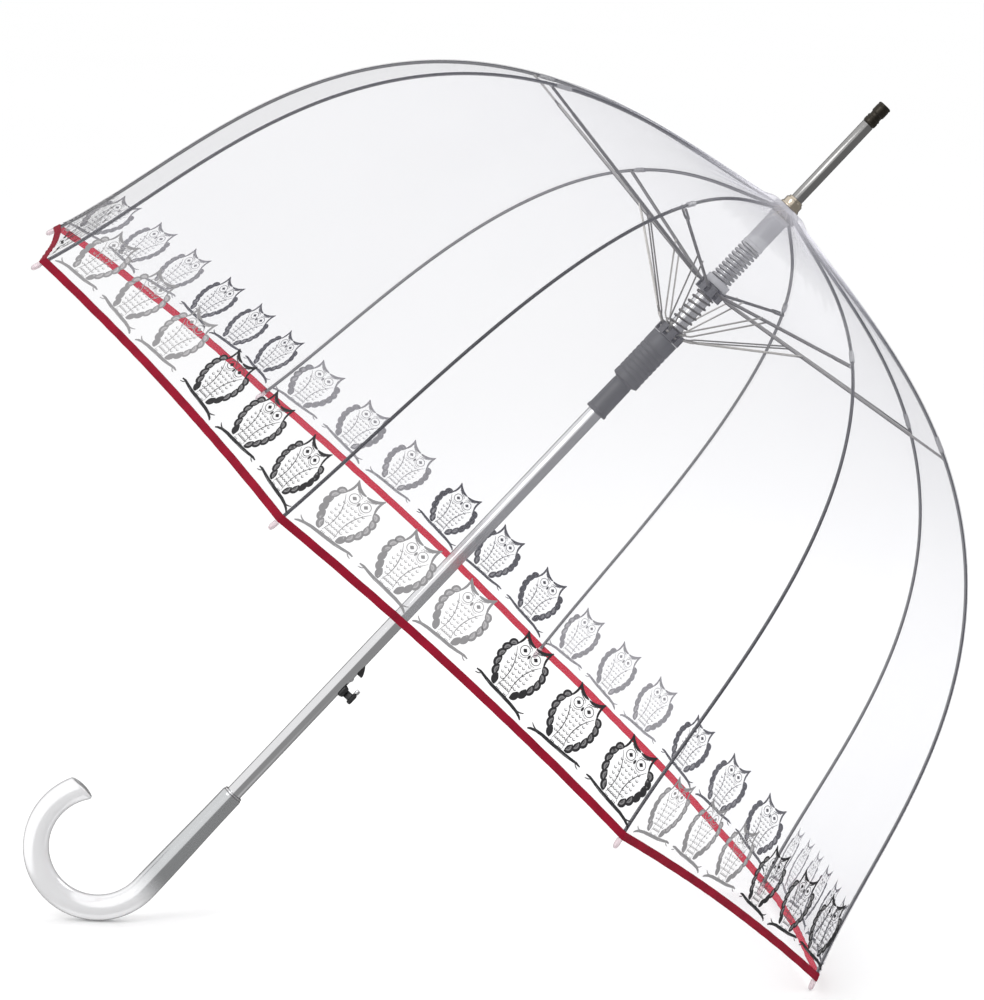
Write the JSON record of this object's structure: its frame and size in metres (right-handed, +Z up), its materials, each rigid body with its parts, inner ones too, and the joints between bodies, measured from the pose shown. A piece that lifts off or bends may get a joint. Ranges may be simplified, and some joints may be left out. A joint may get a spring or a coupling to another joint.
{
  "type": "automatic dome umbrella",
  "caption": "Clear deep-dome umbrella with a crook handle, steel ribs and struts, and a push-button spring frame that slides and folds shut.",
  "frame": {"origin": "on the floor under the centre of the open umbrella's box", "axes": "+Z up from the floor, +X towards the side where the ferrule points, +Y across; the shaft lies in the plane Y = 0 and rises towards +X"},
  "size_m": [0.735, 0.8234, 0.6987],
  "materials": {
    "bright_steel": "polished plated steel",
    "dark_steel": "dark satin coating",
    "link_wire": "drawn wire",
    "ferrule_metal": "satin plated",
    "tip_bronze": "dark bronze",
    "grey_plastic": "moulded, satin",
    "black_plastic": "moulded, satin",
    "pearl_plastic": "glossy pearlescent",
    "clear_plastic": "clear moulded",
    "clear_film": "clear printed film with a crimson hem"
  },
  "bodies": {
    "shaft": {"shaft_tube": "bright_steel", "ferrule_rod": "ferrule_metal", "tip_cap": "tip_bronze", "apex_collar": "bright_steel", "top_notch": "grey_plastic", "notch_wire": "bright_steel", "top_sleeve": "grey_plastic", "buffer_spring": "bright_steel", "crook_handle": "pearl_plastic", "handle_collar": "bright_steel", "button_housing": "black_plastic"},
    "button": {"release_button": "black_plastic"},
    "catch": {"runner_catch": "black_plastic"},
    "runner": {"runner_sleeve": "grey_plastic", "runner_crown": "grey_plastic", "runner_wire": "bright_steel", "opening_spring": "bright_steel"},
    "hub": {"spreader_hub": "grey_plastic", "hub_wire": "bright_steel"},
    "rib_body_1": {"rib_1": "dark_steel", "rib_tip_1": "clear_plastic", "film_1": "clear_film"},
    "rib_body_2": {"rib_2": "dark_steel", "rib_tip_2": "clear_plastic", "film_2": "clear_film"},
    "rib_body_3": {"rib_3": "dark_steel", "rib_tip_3": "clear_plastic", "film_3": "clear_film"},
    "rib_body_4": {"rib_4": "dark_steel", "rib_tip_4": "clear_plastic", "film_4": "clear_film"},
    "rib_body_5": {"rib_5": "dark_steel", "rib_tip_5": "clear_plastic", "film_5": "clear_film"},
    "rib_body_6": {"rib_6": "dark_steel", "rib_tip_6": "clear_plastic", "film_6": "clear_film"},
    "rib_body_7": {"rib_7": "dark_steel", "rib_tip_7": "clear_plastic", "film_7": "clear_film"},
    "rib_body_8": {"rib_8": "dark_steel", "rib_tip_8": "clear_plastic", "film_8": "clear_film"},
    "strut_body_1": {"strut_1": "dark_steel"},
    "strut_body_2": {"strut_2": "dark_steel"},
    "strut_body_3": {"strut_3": "dark_steel"},
    "strut_body_4": {"strut_4": "dark_steel"},
    "strut_body_5": {"strut_5": "dark_steel"},
    "strut_body_6": {"strut_6": "dark_steel"},
    "strut_body_7": {"strut_7": "dark_steel"},
    "strut_body_8": {"strut_8": "dark_steel"},
    "link_body_1": {"link_1": "link_wire"},
    "link_body_2": {"link_2": "link_wire"},
    "link_body_3": {"link_3": "link_wire"},
    "link_body_4": {"link_4": "link_wire"},
    "link_body_5": {"link_5": "link_wire"},
    "link_body_6": {"link_6": "link_wire"},
    "link_body_7": {"link_7": "link_wire"},
    "link_body_8": {"link_8": "link_wire"}
  },
  "joints": [
    {"name": "runner_slide", "type": "slide", "parent": "shaft", "child": "runner", "axis": [0.6556, 0, 0.7551], "range_m": [-0.26988, 0], "stiffness_N_per_m": 60, "springref_m": 0.2, "deforming": ["opening_spring"]},
    {"name": "hub_slide", "type": "slide", "parent": "shaft", "child": "hub", "axis": [0.6556, 0, 0.7551], "range_m": [-0.29686, 0]},
    {"name": "rib_fold_1", "type": "hinge", "parent": "shaft", "child": "rib_body_1", "pos_m": [0.23013, 0.00383, 0.5862], "axis": [-0.289, 0.9239, 0.2509], "range_deg": [0, 44.52], "deforming": ["film_1"]},
    {"name": "rib_fold_2", "type": "hinge", "parent": "shaft", "child": "rib_body_2", "pos_m": [0.22604, 0.00924, 0.58974], "axis": [-0.6976, 0.3827, 0.6057], "range_deg": [0, 44.52], "deforming": ["film_2"]},
    {"name": "rib_fold_3", "type": "hinge", "parent": "shaft", "child": "rib_body_3", "pos_m": [0.22027, 0.00924, 0.59476], "axis": [-0.6976, -0.3827, 0.6057], "range_deg": [0, 44.52], "deforming": ["film_3"]},
    {"name": "rib_fold_4", "type": "hinge", "parent": "shaft", "child": "rib_body_4", "pos_m": [0.21618, 0.00383, 0.59831], "axis": [-0.289, -0.9239, 0.2509], "range_deg": [0, 44.52], "deforming": ["film_4"]},
    {"name": "rib_fold_5", "type": "hinge", "parent": "shaft", "child": "rib_body_5", "pos_m": [0.21618, -0.00383, 0.59831], "axis": [0.289, -0.9239, -0.2509], "range_deg": [0, 44.52], "deforming": ["film_5"]},
    {"name": "rib_fold_6", "type": "hinge", "parent": "shaft", "child": "rib_body_6", "pos_m": [0.22027, -0.00924, 0.59476], "axis": [0.6976, -0.3827, -0.6057], "range_deg": [0, 44.52], "deforming": ["film_6"]},
    {"name": "rib_fold_7", "type": "hinge", "parent": "shaft", "child": "rib_body_7", "pos_m": [0.22604, -0.00924, 0.58974], "axis": [0.6976, 0.3827, -0.6057], "range_deg": [0, 44.52], "deforming": ["film_7"]},
    {"name": "rib_fold_8", "type": "hinge", "parent": "shaft", "child": "rib_body_8", "pos_m": [0.23013, -0.00383, 0.5862], "axis": [0.289, 0.9239, -0.2509], "range_deg": [0, 44.52], "deforming": ["film_8"]},
    {"name": "strut_fold_1", "type": "hinge", "parent": "hub", "child": "strut_body_1", "pos_m": [0.1744, 0.00383, 0.52202], "axis": [-0.289, 0.9239, 0.2509], "range_deg": [-50.72, 0]},
    {"name": "strut_fold_2", "type": "hinge", "parent": "hub", "child": "strut_body_2", "pos_m": [0.17031, 0.00924, 0.52556], "axis": [-0.6976, 0.3827, 0.6057], "range_deg": [-50.72, 0]},
    {"name": "strut_fold_3", "type": "hinge", "parent": "hub", "child": "strut_body_3", "pos_m": [0.16454, 0.00924, 0.53058], "axis": [-0.6976, -0.3827, 0.6057], "range_deg": [-50.72, 0]},
    {"name": "strut_fold_4", "type": "hinge", "parent": "hub", "child": "strut_body_4", "pos_m": [0.16045, 0.00383, 0.53413], "axis": [-0.289, -0.9239, 0.2509], "range_deg": [-50.72, 0]},
    {"name": "strut_fold_5", "type": "hinge", "parent": "hub", "child": "strut_body_5", "pos_m": [0.16045, -0.00383, 0.53413], "axis": [0.289, -0.9239, -0.2509], "range_deg": [-50.72, 0]},
    {"name": "strut_fold_6", "type": "hinge", "parent": "hub", "child": "strut_body_6", "pos_m": [0.16454, -0.00924, 0.53058], "axis": [0.6976, -0.3827, -0.6057], "range_deg": [-50.72, 0]},
    {"name": "strut_fold_7", "type": "hinge", "parent": "hub", "child": "strut_body_7", "pos_m": [0.17031, -0.00924, 0.52556], "axis": [0.6976, 0.3827, -0.6057], "range_deg": [-50.72, 0]},
    {"name": "strut_fold_8", "type": "hinge", "parent": "hub", "child": "strut_body_8", "pos_m": [0.1744, -0.00383, 0.52202], "axis": [0.289, 0.9239, -0.2509], "range_deg": [-50.72, 0]},
    {"name": "link_fold_1", "type": "hinge", "parent": "runner", "child": "link_body_1", "pos_m": [0.14359, 0.00383, 0.48653], "axis": [-0.289, 0.9239, 0.2509], "range_deg": [-28.91, 0]},
    {"name": "link_fold_2", "type": "hinge", "parent": "runner", "child": "link_body_2", "pos_m": [0.1395, 0.00924, 0.49008], "axis": [-0.6976, 0.3827, 0.6057], "range_deg": [-28.91, 0]},
    {"name": "link_fold_3", "type": "hinge", "parent": "runner", "child": "link_body_3", "pos_m": [0.13372, 0.00924, 0.49509], "axis": [-0.6976, -0.3827, 0.6057], "range_deg": [-28.91, 0]},
    {"name": "link_fold_4", "type": "hinge", "parent": "runner", "child": "link_body_4", "pos_m": [0.12963, 0.00383, 0.49864], "axis": [-0.289, -0.9239, 0.2509], "range_deg": [-28.91, 0]},
    {"name": "link_fold_5", "type": "hinge", "parent": "runner", "child": "link_body_5", "pos_m": [0.12963, -0.00383, 0.49864], "axis": [0.289, -0.9239, -0.2509], "range_deg": [-28.91, 0]},
    {"name": "link_fold_6", "type": "hinge", "parent": "runner", "child": "link_body_6", "pos_m": [0.13372, -0.00924, 0.49509], "axis": [0.6976, -0.3827, -0.6057], "range_deg": [-28.91, 0]},
    {"name": "link_fold_7", "type": "hinge", "parent": "runner", "child": "link_body_7", "pos_m": [0.1395, -0.00924, 0.49008], "axis": [0.6976, 0.3827, -0.6057], "range_deg": [-28.91, 0]},
    {"name": "link_fold_8", "type": "hinge", "parent": "runner", "child": "link_body_8", "pos_m": [0.14359, -0.00383, 0.48653], "axis": [0.289, 0.9239, -0.2509], "range_deg": [-28.91, 0]},
    {"name": "button_press", "type": "slide", "parent": "shaft", "child": "button", "axis": [-0.7551, 0, 0.6556], "range_m": [0, 0.003], "stiffness_N_per_m": 400, "springref_m": -0.001},
    {"name": "catch_slide", "type": "slide", "parent": "shaft", "child": "catch", "axis": [-0.7551, 0, 0.6556], "range_m": [0, 0.0043]}
  ],
  "couplings": [
    {"joint": "hub_slide", "follows": "runner_slide", "ratio": 1.0996},
    {"joint": "rib_fold_1", "follows": "runner_slide", "rad_per_m": -2.8782},
    {"joint": "rib_fold_2", "follows": "runner_slide", "rad_per_m": -2.8782},
    {"joint": "rib_fold_3", "follows": "runner_slide", "rad_per_m": -2.8782},
    {"joint": "rib_fold_4", "follows": "runner_slide", "rad_per_m": -2.8782},
    {"joint": "rib_fold_5", "follows": "runner_slide", "rad_per_m": -2.8782},
    {"joint": "rib_fold_6", "follows": "runner_slide", "rad_per_m": -2.8782},
    {"joint": "rib_fold_7", "follows": "runner_slide", "rad_per_m": -2.8782},
    {"joint": "rib_fold_8", "follows": "runner_slide", "rad_per_m": -2.8782},
    {"joint": "strut_fold_1", "follows": "runner_slide", "rad_per_m": 3.2794},
    {"joint": "strut_fold_2", "follows": "runner_slide", "rad_per_m": 3.2794},
    {"joint": "strut_fold_3", "follows": "runner_slide", "rad_per_m": 3.2794},
    {"joint": "strut_fold_4", "follows": "runner_slide", "rad_per_m": 3.2794},
    {"joint": "strut_fold_5", "follows": "runner_slide", "rad_per_m": 3.2794},
    {"joint": "strut_fold_6", "follows": "runner_slide", "rad_per_m": 3.2794},
    {"joint": "strut_fold_7", "follows": "runner_slide", "rad_per_m": 3.2794},
    {"joint": "strut_fold_8", "follows": "runner_slide", "rad_per_m": 3.2794},
    {"joint": "link_fold_1", "follows": "runner_slide", "rad_per_m": 1.8691},
    {"joint": "link_fold_2", "follows": "runner_slide", "rad_per_m": 1.8691},
    {"joint": "link_fold_3", "follows": "runner_slide", "rad_per_m": 1.8691},
    {"joint": "link_fold_4", "follows": "runner_slide", "rad_per_m": 1.8691},
    {"joint": "link_fold_5", "follows": "runner_slide", "rad_per_m": 1.8691},
    {"joint": "link_fold_6", "follows": "runner_slide", "rad_per_m": 1.8691},
    {"joint": "link_fold_7", "follows": "runner_slide", "rad_per_m": 1.8691},
    {"joint": "link_fold_8", "follows": "runner_slide", "rad_per_m": 1.8691},
    {"joint": "catch_slide", "follows": "button_press", "ratio": 1.4}
  ]
}
